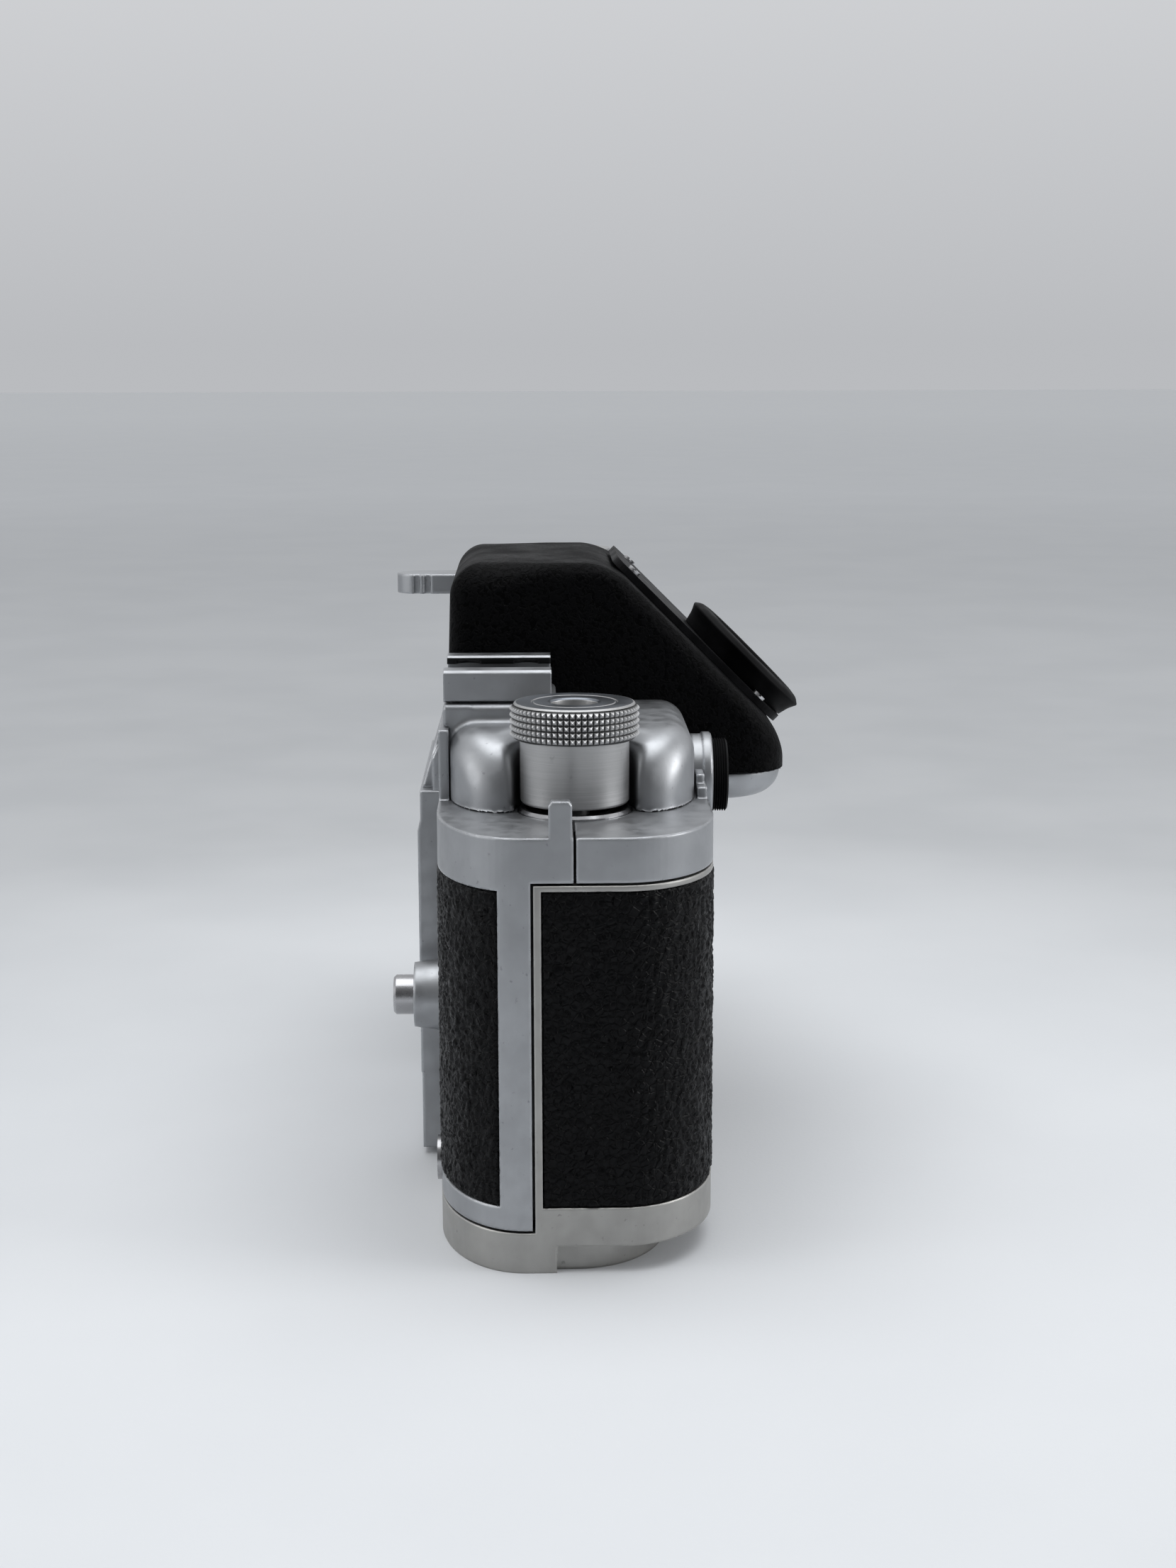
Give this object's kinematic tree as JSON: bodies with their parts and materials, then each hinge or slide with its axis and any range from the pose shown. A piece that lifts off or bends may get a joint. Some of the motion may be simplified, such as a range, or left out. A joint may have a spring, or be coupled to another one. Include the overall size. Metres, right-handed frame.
{
  "type": "single-lens reflex camera body",
  "caption": "35 mm reflex camera body with 45 degree prism finder, lever wind, pull-up rewind knob and a back that slides off with its base.",
  "frame": {"origin": "mouth of the tripod socket in the base plate", "axes": "-Z leaves the tripod socket, +X runs to the rewind end, -Y is the lens side"},
  "size_m": [0.1502, 0.0695, 0.0957],
  "materials": {
    "satin_chrome": "satin chrome, fine grain, bright worn edges",
    "warm_chrome": "satin chrome, slightly warmer grey",
    "polished_steel": "polished",
    "turned_steel": "turned, fine brushing",
    "black_leather": "pebbled black covering",
    "black_crinkle": "fine black crinkle paint",
    "black_paint": "matte black",
    "gloss_black": "smooth glossy black",
    "black_rubber": "matte",
    "screw_steel": "bright",
    "chassis_alloy": "black dipped die casting",
    "lens_glass": "polished",
    "prism_glass": "polished",
    "mirror_face": "front silvered",
    "curtain_cloth": "rubberised silk",
    "spring_steel": "plain",
    "spool_plastic": "matte",
    "gear_brass": "machined"
  },
  "bodies": {
    "camera_body": {"chassis": "chassis_alloy", "mirror_box": "black_paint", "front_casting": "satin_chrome", "rear_ledge": "satin_chrome", "top_cover": "satin_chrome", "cover_screws": "screw_steel", "leather_front_rewind": "black_leather", "leather_front_wind": "black_leather", "knob_seat_ring": "polished_steel", "accessory_shoe": "satin_chrome", "shoe_screws": "screw_steel", "prism_housing": "black_crinkle", "prism_base_band": "satin_chrome", "eyepiece_plate": "gloss_black", "eyepiece_screws": "screw_steel", "eyecup": "black_rubber", "eyepiece_lens": "lens_glass", "prism_glass": "prism_glass", "focusing_screen": "prism_glass", "finder_block": "black_paint", "finder_window": "lens_glass", "finder_ring": "satin_chrome", "finder_thread": "black_paint", "finder_lens": "lens_glass", "mount_block": "satin_chrome", "lens_flange": "turned_steel", "flange_screws": "screw_steel", "front_hood": "satin_chrome", "release_boss": "satin_chrome", "release_spring": "spring_steel", "sync_terminal": "polished_steel", "film_gate": "black_paint", "first_curtain": "curtain_cloth", "second_curtain": "curtain_cloth", "wind_bearing": "polished_steel"},
    "lens_lock": {"lens_lock_lever": "polished_steel"},
    "release": {"release_button": "polished_steel"},
    "mirror_unit": {"mirror_carrier": "black_paint", "mirror": "mirror_face"},
    "drum": {"curtain_drum": "turned_steel"},
    "roller": {"curtain_roller": "turned_steel"},
    "rewind_slide": {"rewind_collar": "turned_steel"},
    "rewind_spindle": {"rewind_knob": "turned_steel", "rewind_shaft": "turned_steel"},
    "wind": {"wind_lever": "satin_chrome", "wind_hub": "turned_steel", "wind_shaft": "gear_brass"},
    "counter": {"counter_ring": "satin_chrome"},
    "dial": {"speed_dial": "turned_steel"},
    "sprocket": {"sprocket": "turned_steel"},
    "spool": {"takeup_spool": "spool_plastic"},
    "back": {"back_shell": "warm_chrome", "back_leather": "black_leather", "tripod_bush": "screw_steel", "base_screws": "screw_steel", "pressure_spring": "spring_steel"},
    "pressure": {"pressure_plate": "black_paint"},
    "key_rewind": {"base_key_rewind": "polished_steel"},
    "key_wind": {"base_key_wind": "polished_steel"}
  },
  "joints": [
    {"name": "rewind_lift", "type": "slide", "parent": "camera_body", "child": "rewind_slide", "axis": [0, 0, 1], "range_m": [0, 0.01]},
    {"name": "rewind_turn", "type": "hinge", "parent": "rewind_slide", "child": "rewind_spindle", "pos_m": [0.055, 0, 0.07], "axis": [0, 0, 1], "continuous": true},
    {"name": "wind_stroke", "type": "hinge", "parent": "camera_body", "child": "wind", "pos_m": [-0.055, 0, 0.085], "axis": [0, 0, 1], "range_deg": [-180, 0], "stiffness_Nm_per_rad": 0.02},
    {"name": "sprocket_turn", "type": "hinge", "parent": "camera_body", "child": "sprocket", "pos_m": [-0.033, 0.0075, 0.058], "axis": [0, 0, 1], "range_deg": [0, 360]},
    {"name": "spool_turn", "type": "hinge", "parent": "camera_body", "child": "spool", "pos_m": [-0.055, 0, 0.03], "axis": [0, 0, 1], "range_deg": [-180, 0]},
    {"name": "counter_turn", "type": "hinge", "parent": "camera_body", "child": "counter", "pos_m": [-0.055, 0, 0.078], "axis": [0, 0, 1], "range_deg": [-9, 0]},
    {"name": "drum_turn", "type": "hinge", "parent": "camera_body", "child": "drum", "pos_m": [0.0255, 0.0062, 0.03], "axis": [0, 0, 1], "range_deg": [-640, 0]},
    {"name": "roller_turn", "type": "hinge", "parent": "camera_body", "child": "roller", "pos_m": [-0.0232, 0.0074, 0.03], "axis": [0, 0, 1], "range_deg": [-1035, 0]},
    {"name": "dial_turn", "type": "hinge", "parent": "camera_body", "child": "dial", "pos_m": [-0.055, 0, 0.089], "axis": [0, 0, 1], "range_deg": [0, 300]},
    {"name": "release_press", "type": "slide", "parent": "camera_body", "child": "release", "axis": [0, 1, 0], "range_m": [0, 0.0018], "stiffness_N_per_m": 400},
    {"name": "mirror_flip", "type": "hinge", "parent": "camera_body", "child": "mirror_unit", "pos_m": [0, 0.007, 0.0446], "axis": [1, 0, 0], "range_deg": [-45, 0], "stiffness_Nm_per_rad": 0.01},
    {"name": "lens_lock_swing", "type": "hinge", "parent": "camera_body", "child": "lens_lock", "pos_m": [0.0209, -0.0238, 0.048], "axis": [0, 1, 0], "range_deg": [0, 12], "stiffness_Nm_per_rad": 0.01},
    {"name": "back_off", "type": "slide", "parent": "camera_body", "child": "back", "axis": [0, 0, -1], "range_m": [0, 0.06]},
    {"name": "plate_press", "type": "slide", "parent": "back", "child": "pressure", "axis": [0, 1, 0], "range_m": [0, 0.0008], "stiffness_N_per_m": 2000},
    {"name": "key_rewind_turn", "type": "hinge", "parent": "back", "child": "key_rewind", "pos_m": [0.055, 0, 0.001], "axis": [0, 0, 1], "range_deg": [0, 180]},
    {"name": "key_wind_turn", "type": "hinge", "parent": "back", "child": "key_wind", "pos_m": [-0.055, 0, 0.001], "axis": [0, 0, 1], "range_deg": [-180, 0]}
  ],
  "couplings": [
    {"joint": "sprocket_turn", "follows": "wind_stroke", "ratio": -2},
    {"joint": "spool_turn", "follows": "wind_stroke", "ratio": 1},
    {"joint": "counter_turn", "follows": "wind_stroke", "ratio": 0.05},
    {"joint": "drum_turn", "follows": "wind_stroke", "ratio": 3.55},
    {"joint": "roller_turn", "follows": "wind_stroke", "ratio": 5.74}
  ]
}
